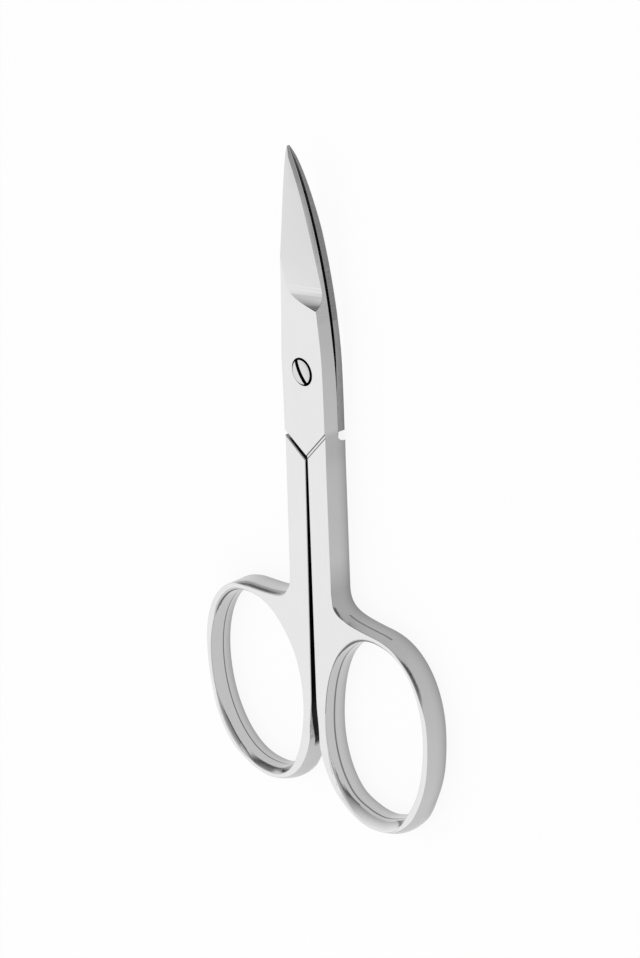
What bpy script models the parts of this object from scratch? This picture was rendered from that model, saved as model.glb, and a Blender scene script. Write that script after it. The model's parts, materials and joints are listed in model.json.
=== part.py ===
"""Curved nail scissors: two crossing halves on a slotted pivot screw, in metres, +Z up.

The scissors lie closed on their back, tips towards +Y. The screw's slotted head faces up.
Each half is modelled the way it is made: a blank is cut to its plan outline, then milled
and ground. A half is drawn with its ring towards +X, its inner face down and the pivot at
the origin; the back half is then turned over.
"""
import math

import bmesh
import bpy
from mathutils import Matrix, Vector

COLLECTION = "curved_nail_scissors"

# Handles: flat stock, shanks and finger rings
PLATE_THICKNESS = 0.0035
SHOULDER_HALF_WIDTH = 0.00385
SHANK_ROOT_HALF_WIDTH = 0.0041
SEAM_GAP_AT_NOTCH = 0.0003
SEAM_GAP_AT_RINGS = 0.0008
SEAM_END_ABOVE_RING_CENTRE = 0.0023
HOLE_LENGTH = 0.0265
HOLE_WIDTH = 0.0186
WALL_OUTER_SIDE = 0.0009
WALL_SEAM_SIDE = 0.0014
WALL_ENDS = 0.001
HOLE_CREASE = 0.00025
RING_CENTRE_BELOW_PIVOT = 0.0479
RING_LEAN = math.radians(6.7)
RING_FULLNESS = 2.17
RING_PARTING = 0.0007
FILLET_HEIGHT = 0.004
BACK_EDGE_RADIUS = 0.0005

# Notch where the halves cross, measured down from the pivot
NOTCH_APEX = 0.01165
LEFT_NOTCH_RISE = 0.0027
RIGHT_NOTCH_RISE = 0.0037
LEFT_NOTCH_GAP = 0.00045
RIGHT_NOTCH_GAP = 0.0006
STEP_RISE = 0.0041
STEP_RUN = 0.0005
FRONT_SHOULDER_FLARE = 0.0012
BACK_SHOULDER_FLARE = 0.0001

# Laps and blades
LAP_LIFT = 0.0001
BACK_LAP_THICKNESS = 0.001
JOINT_GAP = 0.0003
TIP_GAP = 0.00008
LAP_END_HALF_WIDTH = 0.0036
LAP_END_ABOVE_PIVOT = 0.0058
BLADE_REACH = 0.0302
BLADE_FULLNESS = 1.7
TIP_HALF_WIDTH = 0.00008
SCOOP_BOTTOM = 0.01165
SCOOP_RADIUS = 0.0028
BEVEL_WIDTH = 0.00065
RIDGE_HEIGHT_AT_ROOT = 0.0005
RIDGE_HEIGHT_AT_TIP = 0.0002
EDGE_THICKNESS = 0.00006
FRONT_FACE_FALL = 0.27
BACK_FACE_FALL = 0.12
TIP_LIFT = 0.0034
BEND_POWER = 2.6

# Pivot screw
HEAD_RADIUS = 0.0016
HEAD_RIM_HEIGHT = 0.0005
HEAD_DOME = 0.0003
HEAD_CONE_HEIGHT = 0.0006
SHAFT_RADIUS = 0.0012
SCREW_CLEARANCE = 0.0003
THREAD_CLEARANCE = 0.0002
SLOT_WIDTH = 0.00045
SLOT_DEPTH = 0.0006
SLOT_ANGLE = math.radians(-52)

# Sizes that follow from the ones above
JOINT_LEVEL_FRONT = LAP_LIFT + BACK_LAP_THICKNESS + JOINT_GAP
JOINT_LEVEL_BACK = PLATE_THICKNESS - LAP_LIFT - BACK_LAP_THICKNESS
FACE_LEVEL_FRONT = PLATE_THICKNESS + LAP_LIFT
FACE_LEVEL_BACK = PLATE_THICKNESS - LAP_LIFT
RING_HALF_LENGTH = HOLE_LENGTH / 2 + WALL_ENDS
RING_HALF_WIDTH = (HOLE_WIDTH + WALL_OUTER_SIDE + WALL_SEAM_SIDE) / 2
RING_CENTRE = Vector((RING_HALF_WIDTH + RING_PARTING, -RING_CENTRE_BELOW_PIVOT))
HOLE_CENTRE = RING_CENTRE + Vector(((WALL_SEAM_SIDE - WALL_OUTER_SIDE) / 2, 0))
FILLET_TOP = RING_CENTRE.y + RING_HALF_LENGTH + FILLET_HEIGHT
MARGIN = 0.002

# How finely curves are drawn, and the turn below which faces count as flat
FLAT = math.radians(0.3)
RING_POINTS = 72
CURVE_POINTS = 10
BLADE_STATIONS = 16
BEND_STATIONS = 40
TURNED_STEPS = 48


def start_clean():
    """Empty the file and make the two collections."""
    for thing in list(bpy.data.objects):
        bpy.data.objects.remove(thing, do_unlink=True)
    groups = {}
    for name in (COLLECTION, "cutters"):
        groups[name] = bpy.data.collections.new(name)
        bpy.context.scene.collection.children.link(groups[name])
    return groups


def steel(name, colour, roughness):
    """A plain polished metal."""
    material = bpy.data.materials.new(name)
    material.use_nodes = True
    shader = material.node_tree.nodes["Principled BSDF"]
    shader.inputs["Base Color"].default_value = (*colour, 1)
    shader.inputs["Metallic"].default_value = 1
    shader.inputs["Roughness"].default_value = roughness
    return material


def loft(name, sections, group):
    """A closed solid through equal-length sections, capped at both ends."""
    shape = bmesh.new()
    rows = [[shape.verts.new(point) for point in section] for section in sections]
    for low, high in zip(rows, rows[1:]):
        for i in range(len(low)):
            j = (i + 1) % len(low)
            shape.faces.new((low[i], low[j], high[j], high[i]))
    shape.faces.new(reversed(rows[0]))
    shape.faces.new(rows[-1])
    bmesh.ops.recalc_face_normals(shape, faces=shape.faces)
    mesh = bpy.data.meshes.new(name)
    shape.to_mesh(mesh)
    shape.free()
    made = bpy.data.objects.new(name, mesh)
    group.objects.link(made)
    return made


def as_cutter(made):
    """Hide a cutter from renders and show it as wires."""
    made.hide_render = True
    made.display_type = "WIRE"
    return made


def cut(made, cutter):
    """Take a cutter's volume out of a piece."""
    modifier = made.modifiers.new(cutter.name, "BOOLEAN")
    modifier.operation = "DIFFERENCE"
    modifier.object = cutter
    modifier.solver = "EXACT"


def extruded(name, outline, bottom, top, group):
    """A flat outline drawn as a filled 2D curve, given its thickness and made a mesh."""
    curve = bpy.data.curves.new(name, "CURVE")
    curve.dimensions = "2D"
    curve.fill_mode = "BOTH"
    curve.extrude = (top - bottom) / 2
    spline = curve.splines.new("POLY")
    spline.points.add(len(outline) - 1)
    for point, (x, y) in zip(spline.points, outline):
        point.co = (x, y, 0, 1)
    spline.use_cyclic_u = True
    drawn = bpy.data.objects.new(name, curve)
    group.objects.link(drawn)
    graph = bpy.context.evaluated_depsgraph_get()
    mesh = bpy.data.meshes.new_from_object(drawn.evaluated_get(graph))
    bpy.data.objects.remove(drawn)
    shape = bmesh.new()
    shape.from_mesh(mesh)
    bmesh.ops.remove_doubles(shape, verts=shape.verts, dist=1e-7)
    bmesh.ops.translate(shape, verts=shape.verts, vec=(0, 0, (top + bottom) / 2))
    bmesh.ops.dissolve_limit(shape, angle_limit=FLAT, verts=shape.verts, edges=shape.edges)
    bmesh.ops.recalc_face_normals(shape, faces=shape.faces)
    shape.to_mesh(mesh)
    shape.free()
    made = bpy.data.objects.new(name, mesh)
    group.objects.link(made)
    return made


def ring_point(angle, centre, half_width, half_length):
    """A point on a ring's outline, a slightly square oval that leans outwards."""
    power = 2 / RING_FULLNESS
    across = half_width * math.copysign(abs(math.cos(angle)) ** power, math.cos(angle))
    along = half_length * math.copysign(abs(math.sin(angle)) ** power, math.sin(angle))
    x = across * math.cos(RING_LEAN) + along * math.sin(RING_LEAN)
    y = along * math.cos(RING_LEAN) - across * math.sin(RING_LEAN)
    return centre + Vector((x, y))


def ring_arc(start, end):
    """Points along the outside of a ring between two angles."""
    angles = [start + (end - start) * i / RING_POINTS for i in range(RING_POINTS + 1)]
    return [ring_point(angle, RING_CENTRE, RING_HALF_WIDTH, RING_HALF_LENGTH) for angle in angles]


def hole_outline(grow):
    """The finger hole's outline, drawn out by grow."""
    width = HOLE_WIDTH / 2 + grow
    length = HOLE_LENGTH / 2 + grow
    turn = math.tau / RING_POINTS
    return [ring_point(i * turn, HOLE_CENTRE, width, length) for i in range(RING_POINTS)]


def blend(start, start_pull, end_pull, end):
    """Points of a smooth curve between two points, without its ends."""
    points = []
    for i in range(1, CURVE_POINTS):
        t = i / CURVE_POINTS
        s = 1 - t
        points.append(start * s**3 + start_pull * 3 * s * s * t + end_pull * 3 * s * t * t + end * t**3)
    return points


def half_width(y):
    """Half the width of the lap and blade at a height above the pivot."""
    if y <= LAP_END_ABOVE_PIVOT:
        share = (y + NOTCH_APEX) / (LAP_END_ABOVE_PIVOT + NOTCH_APEX)
        return SHOULDER_HALF_WIDTH + (LAP_END_HALF_WIDTH - SHOULDER_HALF_WIDTH) * share
    share = min(1, (y - LAP_END_ABOVE_PIVOT) / (BLADE_REACH - LAP_END_ABOVE_PIVOT))
    return max(TIP_HALF_WIDTH, LAP_END_HALF_WIDTH * (1 - share**BLADE_FULLNESS))


def bend(y):
    """How far the curve of the blades, which starts at the notch, lifts a point."""
    share = max(0, (y + NOTCH_APEX) / (BLADE_REACH + NOTCH_APEX))
    return TIP_LIFT * share**BEND_POWER


def closing(y):
    """How far each blade leans towards the other one, so that they nearly meet at the tip."""
    share = max(0, (y - LAP_END_ABOVE_PIVOT) / (BLADE_REACH - LAP_END_ABOVE_PIVOT))
    return (JOINT_GAP - TIP_GAP) / 2 * share


def blade_stations():
    """Heights above the pivot at which a blade's sides are drawn, closer towards the tip."""
    span = BLADE_REACH - LAP_END_ABOVE_PIVOT
    shares = [math.sin(math.pi / 2 * i / BLADE_STATIONS) for i in range(BLADE_STATIONS + 1)]
    return [LAP_END_ABOVE_PIVOT + span * share for share in shares]


def half_outline(lap_rise):
    """A half's plan: seam, finger ring, shank, and the blade's two sides."""
    seam_top = Vector((SEAM_GAP_AT_NOTCH / 2, -NOTCH_APEX))
    seam_end = Vector((SEAM_GAP_AT_RINGS / 2, RING_CENTRE.y + SEAM_END_ABOVE_RING_CENTRE))
    ring = ring_arc(math.radians(205), math.radians(452))
    drop = Vector((0, (seam_end.y - ring[0].y) / 2))
    foot = blend(seam_end, seam_end - drop, ring[0] + drop, ring[0])
    shank = Vector((SHANK_ROOT_HALF_WIDTH, FILLET_TOP))
    reach = ring[-1].x - shank.x
    ring_pull = ring[-1] - Vector((reach * 0.78, -reach * 0.04))
    shank_pull = shank - Vector((0, FILLET_HEIGHT * 0.86))
    fillet = blend(ring[-1], ring_pull, shank_pull, shank)
    sides = blade_stations()
    right = [Vector((half_width(y), y)) for y in sides]
    left = [Vector((-half_width(y), y)) for y in reversed(sides)]
    shoulder = Vector((SHOULDER_HALF_WIDTH, -NOTCH_APEX))
    corner_y = lap_rise - NOTCH_APEX
    corner = Vector((-half_width(corner_y), corner_y))
    return [seam_top, seam_end, *foot, *ring, *fillet, shank, shoulder, *right, *left, corner]


def hole_cutter(name, group):
    """Cuts the finger hole, whose wall has a crease half way through the plate."""
    middle = PLATE_THICKNESS / 2
    steep = HOLE_CREASE / middle
    heights = ((-MARGIN, steep * MARGIN), (middle, -HOLE_CREASE), (PLATE_THICKNESS + MARGIN, steep * MARGIN))
    sections = [[(*point, z) for point in hole_outline(grow)] for z, grow in heights]
    return as_cutter(loft(name, sections, group))


def notch_line(rise, aside):
    """Two points on a side of the V notch that rises this far at the lap's edge, moved down aside."""
    run = Vector((SHOULDER_HALF_WIDTH, rise))
    across = Vector((rise, -SHOULDER_HALF_WIDTH)).normalized() * aside
    apex = Vector((0, -NOTCH_APEX)) + across
    return apex - 2 * run, apex + 2 * run


def notch_region(rise, gap):
    """Plan of all that lies above a side of the notch moved down by a gap."""
    low, high = notch_line(rise, gap)
    top = BLADE_REACH + MARGIN
    return [low, high, Vector((high.x, top)), Vector((low.x, top))]


def recess_cutter(name, joint_level, rise, gap, flare, group):
    """Clears the other half's lap out of the plate, a gap off, with a rounded shoulder."""
    steps = 6
    sections = []
    for i in range(steps + 1):
        angle = math.pi / 2 * i / steps
        z = joint_level * (1 - math.sin(angle))
        plan = notch_region(rise, gap + flare * (1 - math.cos(angle)))
        sections.append([(*point, z) for point in plan])
    sections.append([(*point, -MARGIN) for point in notch_region(rise, gap + flare)])
    return as_cutter(loft(name, sections, group))


def step_cutter(name, group):
    """Grinds the shank and ring a step below the lap's face, along the notch's ring side."""
    sections = []
    for z, gap in ((PLATE_THICKNESS, STEP_RUN), (FACE_LEVEL_FRONT + LAP_LIFT, -STEP_RUN)):
        low, high = notch_line(STEP_RISE, gap)
        bottom = RING_CENTRE.y - RING_HALF_LENGTH - MARGIN
        wide = RING_CENTRE.x + RING_HALF_WIDTH + 2 * MARGIN
        plan = [low, Vector((low.x, bottom)), Vector((wide, bottom)), Vector((wide, high.y)), high]
        sections.append([(*point, z) for point in plan])
    return as_cutter(loft(name, sections, group))


def lap_face_cutter(name, group):
    """Grinds the back lap's outer face a little below the shank's, above the notch."""
    heights = ((FACE_LEVEL_BACK, STEP_RUN / 2), (PLATE_THICKNESS + MARGIN, -STEP_RUN / 2))
    sections = [[(*point, z) for point in notch_region(RIGHT_NOTCH_RISE, gap)] for z, gap in heights]
    return as_cutter(loft(name, sections, group))


def grind_section(y, joint_level, face_level, fall):
    """Cross section of what grinding takes off above a blade: face, ridge and edge bevel."""
    share = min(1, max(0, (y - SCOOP_BOTTOM) / (BLADE_REACH - SCOOP_BOTTOM)))
    width = half_width(y)
    bevel = min(BEVEL_WIDTH, 1.8 * width)
    ridge_x = width - bevel
    ridge_z = joint_level + RIDGE_HEIGHT_AT_ROOT + (RIDGE_HEIGHT_AT_TIP - RIDGE_HEIGHT_AT_ROOT) * share
    steep = (ridge_z - joint_level - EDGE_THICKNESS) / bevel
    climb = 0.0
    if y < SCOOP_BOTTOM:
        run = min(SCOOP_BOTTOM - y, SCOOP_RADIUS)
        climb = SCOOP_RADIUS - math.sqrt(SCOOP_RADIUS**2 - run**2)
    far = SHOULDER_HALF_WIDTH + MARGIN
    top = face_level + 2 * MARGIN
    return [
        (-far, y, ridge_z + climb + fall * (ridge_x + far)),
        (ridge_x, y, ridge_z + climb),
        (far, y, ridge_z + climb - steep * (far - ridge_x)),
        (far, y, top),
        (-far, y, top),
    ]


def grind_cutter(name, joint_level, face_level, fall, group):
    """Grinds a blade's face hollow from the lap to the tip, and bevels its cutting edge."""
    quarter = [math.pi / 2 * i / CURVE_POINTS for i in range(CURVE_POINTS, 0, -1)]
    scoop = [SCOOP_BOTTOM - SCOOP_RADIUS * math.sin(angle) for angle in quarter]
    step = (BLADE_REACH + MARGIN - SCOOP_BOTTOM) / BLADE_STATIONS
    blade = [SCOOP_BOTTOM + step * i for i in range(BLADE_STATIONS + 1)]
    sections = [grind_section(y, joint_level, face_level, fall) for y in scoop + blade]
    return as_cutter(loft(name, sections, group))


def turned(name, profile, group):
    """A turned solid: a profile that runs down its outer side, spun about the pivot."""
    mesh = bpy.data.meshes.new(name)
    edges = [(i, i + 1) for i in range(len(profile) - 1)]
    mesh.from_pydata([(x, 0, z) for x, z in profile], edges, [])
    made = bpy.data.objects.new(name, mesh)
    group.objects.link(made)
    spin = made.modifiers.new("turning", "SCREW")
    spin.axis = "Z"
    spin.steps = TURNED_STEPS
    spin.render_steps = TURNED_STEPS
    spin.use_merge_vertices = True
    spin.merge_threshold = 1e-6
    return made


def screw_profile(gap, top, bottom):
    """The pivot screw's profile, or with a gap the hole that it turns in."""
    rim = FACE_LEVEL_FRONT - HEAD_RIM_HEIGHT
    neck = rim - HEAD_CONE_HEIGHT
    return [
        (HEAD_RADIUS + gap, top),
        (HEAD_RADIUS + gap, rim - gap),
        (SHAFT_RADIUS + gap, neck - gap),
        (SHAFT_RADIUS + gap, bottom),
        (0, bottom),
    ]


def settle(made):
    """Replace an object's mesh by what its modifiers make of it, and drop its cutters."""
    graph = bpy.context.evaluated_depsgraph_get()
    mesh = bpy.data.meshes.new_from_object(made.evaluated_get(graph))
    used = [modifier.object for modifier in made.modifiers if modifier.type == "BOOLEAN"]
    made.modifiers.clear()
    made.data = mesh
    for cutter in used:
        bpy.data.objects.remove(cutter)
    return mesh


def bend_blade(mesh, direction):
    """Cut a blade across at close stations and curve it."""
    shape = bmesh.new()
    shape.from_mesh(mesh)
    for i in range(BEND_STATIONS):
        y = -NOTCH_APEX + (BLADE_REACH + NOTCH_APEX) * i / BEND_STATIONS
        parts = shape.verts[:] + shape.edges[:] + shape.faces[:]
        bmesh.ops.bisect_plane(shape, geom=parts, dist=1e-7, plane_co=(0, y, 0), plane_no=(0, 1, 0))
    bmesh.ops.triangulate(shape, faces=shape.faces)
    for vertex in shape.verts:
        y = vertex.co.y
        vertex.co.z += direction * bend(y) - closing(y)
    bmesh.ops.remove_doubles(shape, verts=shape.verts, dist=1e-7)
    shape.to_mesh(mesh)
    shape.free()


def round_back_edge(mesh, level):
    """Round the handle's back edge, where the flat face at a level meets upright walls."""
    shape = bmesh.new()
    shape.from_mesh(mesh)
    shape.normal_update()
    rim = []
    for edge in shape.edges:
        at_level = all(abs(vertex.co.z - level) < 1e-7 for vertex in edge.verts)
        upright = any(abs(face.normal.z) < 0.01 for face in edge.link_faces)
        if at_level and upright:
            rim.append(edge)
    bmesh.ops.bevel(
        shape, geom=rim, offset=BACK_EDGE_RADIUS, segments=3, profile=0.5, affect="EDGES", clamp_overlap=False
    )
    shape.to_mesh(mesh)
    shape.free()


def make_front_half(groups, material, pivot_y):
    """The half with the screw's head: front blade, right shank and right ring."""
    cutters = groups["cutters"]
    made = extruded("front_half", half_outline(LEFT_NOTCH_RISE), 0, FACE_LEVEL_FRONT, groups[COLLECTION])
    cut(made, hole_cutter("front_ring_hole", cutters))
    right_side = (RIGHT_NOTCH_RISE, RIGHT_NOTCH_GAP, FRONT_SHOULDER_FLARE)
    cut(made, recess_cutter("front_recess", JOINT_LEVEL_FRONT, *right_side, cutters))
    cut(made, step_cutter("front_step", cutters))
    cut(made, grind_cutter("front_grind", JOINT_LEVEL_FRONT, FACE_LEVEL_FRONT, FRONT_FACE_FALL, cutters))
    above = FACE_LEVEL_FRONT + MARGIN
    seat = turned("screw_seat", [(0, above), *screw_profile(SCREW_CLEARANCE, above, -MARGIN)], cutters)
    cut(made, as_cutter(seat))
    mesh = settle(made)
    round_back_edge(mesh, 0)
    bend_blade(mesh, 1)
    finish(made, material)
    made.location = (0, pivot_y, 0)
    return made


def make_back_half(groups, material, pivot_y):
    """The threaded half: back blade, left shank and left ring, drawn face up and turned over."""
    cutters = groups["cutters"]
    made = extruded("back_half", half_outline(RIGHT_NOTCH_RISE), 0, PLATE_THICKNESS, groups[COLLECTION])
    cut(made, hole_cutter("back_ring_hole", cutters))
    left_side = (LEFT_NOTCH_RISE, LEFT_NOTCH_GAP, BACK_SHOULDER_FLARE)
    cut(made, recess_cutter("back_recess", JOINT_LEVEL_BACK, *left_side, cutters))
    cut(made, lap_face_cutter("back_lap_face", cutters))
    cut(made, grind_cutter("back_grind", JOINT_LEVEL_BACK, FACE_LEVEL_BACK, BACK_FACE_FALL, cutters))
    radius = SHAFT_RADIUS + THREAD_CLEARANCE
    high, low = PLATE_THICKNESS + MARGIN, -MARGIN
    thread = turned("thread_hole", [(0, high), (radius, high), (radius, low), (0, low)], cutters)
    cut(made, as_cutter(thread))
    mesh = settle(made)
    round_back_edge(mesh, PLATE_THICKNESS)
    bend_blade(mesh, -1)
    finish(made, material)
    made.rotation_euler = (0, math.pi, 0)
    made.location = (0, pivot_y, PLATE_THICKNESS)
    return made


def make_screw(groups, material, pivot_y):
    """The pivot screw: domed slotted head, cone and shaft, set in the back half's thread."""
    top = FACE_LEVEL_FRONT
    dome = []
    for i in range(5):
        share = i / 5
        dome.append((HEAD_RADIUS * share, top + HEAD_DOME * (1 - share**2)))
    made = turned("pivot_screw", [*dome, *screw_profile(0, top, LAP_LIFT)], groups[COLLECTION])
    slot = as_cutter(bpy.data.objects.new("slot", bpy.data.meshes.new("slot")))
    groups["cutters"].objects.link(slot)
    shape = bmesh.new()
    bmesh.ops.create_cube(shape, size=1)
    scale = Matrix.Diagonal((3 * HEAD_RADIUS, SLOT_WIDTH, 2 * MARGIN, 1))
    bmesh.ops.transform(shape, matrix=scale, verts=shape.verts)
    shape.to_mesh(slot.data)
    shape.free()
    slot.rotation_euler = (0, 0, SLOT_ANGLE)
    slot.location = (0, 0, top - SLOT_DEPTH + MARGIN)
    bpy.context.view_layer.update()
    cut(made, slot)
    settle(made)
    finish(made, material)
    made.location = (0, pivot_y, bend(0))
    return made


def finish(made, material):
    """Smooth a piece's round walls, keep its real edges and colour it."""
    made.data.shade_smooth()
    made.data.set_sharp_from_angle(angle=math.radians(30))
    made.data.materials.clear()
    made.data.materials.append(material)


def main():
    groups = start_clean()
    lowest = min(point.y for point in half_outline(LEFT_NOTCH_RISE))
    pivot_y = -(BLADE_REACH + lowest) / 2
    make_back_half(groups, steel("back_half_steel", (0.80, 0.80, 0.80), 0.18), pivot_y)
    make_front_half(groups, steel("front_half_steel", (0.82, 0.82, 0.82), 0.16), pivot_y)
    make_screw(groups, steel("screw_steel", (0.78, 0.78, 0.79), 0.2), pivot_y)


main()
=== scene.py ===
"""Curved nail scissors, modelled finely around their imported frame, in metres, +Z up.

They lie closed on a white table, tips towards +Y, the screw's slotted head up. Each half is
drawn with its ring towards +X and the pivot at the origin, cut and ground as a maker would,
bent, and only then put where the frame has it.
"""
import json
import math
from collections import namedtuple

import bpy
from mathutils import Matrix, Vector


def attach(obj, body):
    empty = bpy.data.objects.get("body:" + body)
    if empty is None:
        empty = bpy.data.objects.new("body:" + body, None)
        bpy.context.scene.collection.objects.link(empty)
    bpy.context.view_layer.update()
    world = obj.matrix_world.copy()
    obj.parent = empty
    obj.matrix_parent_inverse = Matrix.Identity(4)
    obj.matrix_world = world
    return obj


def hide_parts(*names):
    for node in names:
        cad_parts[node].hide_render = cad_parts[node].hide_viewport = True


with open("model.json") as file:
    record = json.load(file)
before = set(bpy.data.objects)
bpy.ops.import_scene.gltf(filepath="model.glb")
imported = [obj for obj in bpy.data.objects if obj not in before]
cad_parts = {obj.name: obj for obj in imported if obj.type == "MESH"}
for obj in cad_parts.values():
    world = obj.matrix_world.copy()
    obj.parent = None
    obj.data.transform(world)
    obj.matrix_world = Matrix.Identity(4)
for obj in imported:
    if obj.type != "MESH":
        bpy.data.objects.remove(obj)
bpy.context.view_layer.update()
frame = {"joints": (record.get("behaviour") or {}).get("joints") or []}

PIVOT = Vector(frame["joints"][0]["pos_m"])

# Handles: flat stock, shanks and finger rings
PLATE_THICKNESS = 0.0035
SHOULDER_HALF_WIDTH = 0.00385
RING_CENTRE_BELOW_PIVOT = 0.0479
RING_HALF_LENGTH = 0.01425
SEAM_GAP_AT_NOTCH = 0.0003
SEAM_GAP_AT_RINGS = 0.0008
SEAM_END_ABOVE_RING_CENTRE = 0.0023
FILLET_HEIGHT = 0.004
FILLET_TOP = -RING_CENTRE_BELOW_PIVOT + RING_HALF_LENGTH + FILLET_HEIGHT
FILLET_RING_PULL = 0.78
FILLET_RING_DIP = 0.04
FILLET_SHANK_PULL = 0.86

# How the walls are softened, rolled over and creased, with the depths below the front face in micrometres
WALL_DEPTHS = (0, 20, 60, 120, 200, 300, 400, 500, 600, 800, 1100, 1350, 1800, 2500, 3000, 3450, 3485, 3500)
FRONT_SOFTNESS = 0.00006
BACK_SOFTNESS = 0.00005
ROLL_DEPTH = 0.001
ROLL_POWER = 2.2
CREASE_HALF_WIDTH = 0.0001
HOLE_SOFTNESS = 0.00008
HOLE_CREASE = 0.0002
HOLE_BACK_DRAW = 0.0001
SCOOPED_RIM_DEPTH = 0.0009
SCOOPED_RIM_POWER = 1.2

# Notch where the halves cross, measured down from the pivot
NOTCH_APEX = 0.01165
LEFT_NOTCH_RISE = 0.0027
RIGHT_NOTCH_RISE = 0.0037
LEFT_NOTCH_GAP = 0.00052
NOTCH_SOFTNESS = 0.00012
RIGHT_NOTCH_GAP = 0.0004
FRONT_SHOULDER_FLARE = 0.0006
BACK_SHOULDER_FLARE = 0.0001
STEP_RISE = 0.0041
STEP_LINES = (0.0, 0.00017, 0.00038, 0.0005)
LAP_FACE_RUN = 0.00025

# Laps and blades
LAP_LIFT = 0.0001
BACK_LAP_THICKNESS = 0.001
JOINT_GAP = 0.0003
LAP_GAP = 0.00003
BLADE_GAP = 0.00045
TIP_GAP = 0.00008
TIP_CLOSING_POWER = 14
GAP_OPENS_FROM = -0.004
GAP_OPEN_AT = 0.006
LAP_HALF_WIDTH = 0.00386
BLADE_START = 0.001
LAP_END_ABOVE_PIVOT = 0.0058
BLADE_REACH = 0.0302
SCOOP_BOTTOM = 0.01173
SCOOP_RUN = 0.003
SCOOP_RISE = 0.00232
SCOOP_POWER = 3
BEVEL_WIDTH = 0.00043
BEVEL_FROM = 0.0075
BEVEL_FULL_AT = 0.019
RIDGE_HEIGHT_AT_ROOT = 0.0005
RIDGE_HEIGHT_AT_TIP = 0.0003
RIDGE_THINNING = 0.7
EDGE_THICKNESS = 0.00006
FRONT_FACE_FALL = 0.358
BACK_FACE_FALL = 0.145
TIP_LIFT = 0.0034
BEND_POWER = 2.6
JOINT_LEVEL_FRONT = LAP_LIFT + BACK_LAP_THICKNESS + JOINT_GAP
JOINT_LEVEL_BACK = PLATE_THICKNESS - LAP_LIFT - BACK_LAP_THICKNESS
FACE_LEVEL_FRONT = PLATE_THICKNESS + LAP_LIFT
FACE_LEVEL_BACK = PLATE_THICKNESS - LAP_LIFT

# Pivot screw
HEAD_RADIUS = 0.00162
HEAD_PROUD = 0.00022
HEAD_DOME = 0.0002
HEAD_CONE_HEIGHT = 0.0006
HEAD_RIM_HEIGHT = 0.0005
HEAD_CHAMFER = 0.03
SHAFT_RADIUS = 0.0012
SEAT_CLEARANCE = 0.00029
THREAD_CLEARANCE = 0.0001
SLOT_WIDTH = 0.00064
SLOT_DEPTH = 0.0006
SLOT_ANGLE = math.radians(-58)

# How finely curves are drawn
RING_POINTS = 200
HOLE_POINTS = 220
BLEND_POINTS = 36
BLADE_STATIONS = 48
STATION_CROWDING = 1.5
SHOULDER_STEPS = 12
SCOOP_STEPS = 28
BEND_STATIONS = 90
TURNED_SIDES = 96
DOME_STEPS = 13
SMOOTH_ANGLE = math.radians(28)
MERGE_DISTANCE = 1e-7

# How far cutters reach past what they cut
MARGIN = 0.002

# Each half's own shape, from the pivot, with its ring towards +X. Angles run in degrees round the
# ring from +X, and on through the fillet from RING_END to SHANK_FOOT. A stretch of them is where
# something rises, is full, starts to fall and ends.
RING_START, RING_END, SHANK_FOOT = 205, 452, 552
RingShape = namedtuple("RingShape", "centre half_width half_length lean fullness")
Side = namedtuple("Side", "slope_loss slope_power late_loss late_power")
HalfShape = namedtuple(
    "HalfShape",
    "ring hole rolls outer_creases swells crease_depth hole_rolls scooped_rims heels"
    " seam_ease seam_softness shank_root edge spine lap_rise corner_run",
)
RIGHT_SIDE = Side(0.9, 1.6, 0.15, 12)
LEFT_SIDE = Side(0.8, 1.1, 0.13, 3.2)
FRONT = HalfShape(
    ring=RingShape(
        Vector((0.01115, -RING_CENTRE_BELOW_PIVOT)), 0.01045, RING_HALF_LENGTH, math.radians(6.7), 2.17
    ),
    hole=RingShape(Vector((0.01155, -0.04795)), 0.0092, 0.0134, math.radians(6), 2.17),
    rolls=(((382, 402, 414, 438), 0.0003), ((492, 508, 520, 540), 0.00026)),
    outer_creases=(((412, 430, 488, 508), 0.0002),),
    swells=(
        ((245, 270, 350, 372), (0.00017, 0, 0.00017)),
        ((285, 300, 320, 335), (0.00012, 0, 0)),
        ((272, 298, 312, 338), (0, 0, 0.0005)),
        ((250, 280, 306, 335), (0, 0.00042, 0)),
    ),
    crease_depth=0.00152,
    hole_rolls=(((60, 100, 116, 156), 0.00032), ((204, 224, 234, 256), 0.0004)),
    scooped_rims=(((226, 272, 288, 322), 0.00122),),
    heels=(((240, 264, 290, 312), -0.00035), ((60, 95, 125, 150), -0.0002)),
    seam_ease=0.00015,
    seam_softness=1,
    shank_root=0.0041,
    edge=RIGHT_SIDE,
    spine=LEFT_SIDE,
    lap_rise=LEFT_NOTCH_RISE,
    corner_run=0,
)
BACK = HalfShape(
    ring=RingShape(Vector((0.01115, -0.0478)), 0.01045, 0.01415, math.radians(6.7), 2.17),
    hole=RingShape(Vector((0.0115, -0.0477)), 0.0094, 0.0131, math.radians(4), 2.05),
    rolls=(((432, 450, 492, 524), 0.00048),),
    outer_creases=(),
    swells=(
        ((300, 315, 335, 350), (0.0002, 0, 0.0002)),
        ((270, 283, 297, 307), (-0.00015, 0, 0)),
        ((222, 242, 262, 285), (0, 0, 0.00035)),
        ((222, 242, 268, 292), (0, 0.0004, 0)),
        ((370, 390, 402, 444), (0.0001, 0, 0.00042)),
    ),
    crease_depth=0.0021,
    hole_rolls=(((30, 46, 66, 96), 0.00035), ((284, 300, 316, 346), 0.0006)),
    scooped_rims=(((218, 246, 268, 304), 0.0005),),
    heels=(((60, 90, 130, 160), -0.00025), ((198, 228, 246, 276), 0.0004)),
    seam_ease=0,
    seam_softness=2.2,
    shank_root=0.00392,
    edge=LEFT_SIDE,
    spine=RIGHT_SIDE,
    lap_rise=RIGHT_NOTCH_RISE,
    corner_run=0.0012,
)

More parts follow.
